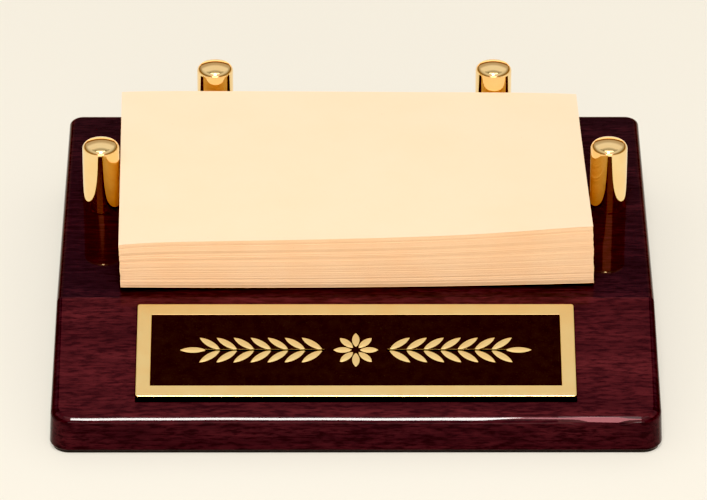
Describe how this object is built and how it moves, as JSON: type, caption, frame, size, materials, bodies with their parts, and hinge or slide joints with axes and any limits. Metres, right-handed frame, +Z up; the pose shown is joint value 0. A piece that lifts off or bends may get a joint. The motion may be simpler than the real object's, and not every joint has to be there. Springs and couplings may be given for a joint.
{
  "type": "note paper holder",
  "caption": "Lacquered wooden desk base with a flat shelf, round metal posts that keep a stack of loose notes square, and an enamelled plate on its sloping front.",
  "frame": {"origin": "middle of the underside, at table level", "axes": "+X to the right seen from the front, +Y towards the back, +Z up; the sloping front panel faces -Y and up"},
  "size_m": [0.1934, 0.1724, 0.0525],
  "materials": {
    "lacquered_wood": "gloss",
    "felt": "matte",
    "post_gold": "polished",
    "zinc_steel": "satin",
    "plate_brass": "satin",
    "enamel": "gloss",
    "adhesive_film": "matte",
    "note_paper": "matte"
  },
  "bodies": {
    "base": {"base_block": "lacquered_wood", "base_felt": "felt", "post_left": "post_gold", "post_right": "post_gold", "post_back_left": "post_gold", "post_back_right": "post_gold", "screw_left": "zinc_steel", "screw_right": "zinc_steel", "screw_back_left": "zinc_steel", "screw_back_right": "zinc_steel", "washer_left": "zinc_steel", "washer_right": "zinc_steel", "washer_back_left": "zinc_steel", "washer_back_right": "zinc_steel", "nameplate": "plate_brass", "nameplate_enamel": "enamel", "nameplate_adhesive": "adhesive_film"},
    "stack": {"note_stack": "note_paper"},
    "note": {"top_note": "note_paper"}
  },
  "joints": [
    {"name": "stack_lift", "type": "slide", "parent": "base", "child": "stack", "axis": [0, 0, 1], "range_m": [0, 0.04]},
    {"name": "top_note_lift", "type": "slide", "parent": "stack", "child": "note", "axis": [0, 0, 1], "range_m": [0, 0.04]}
  ]
}
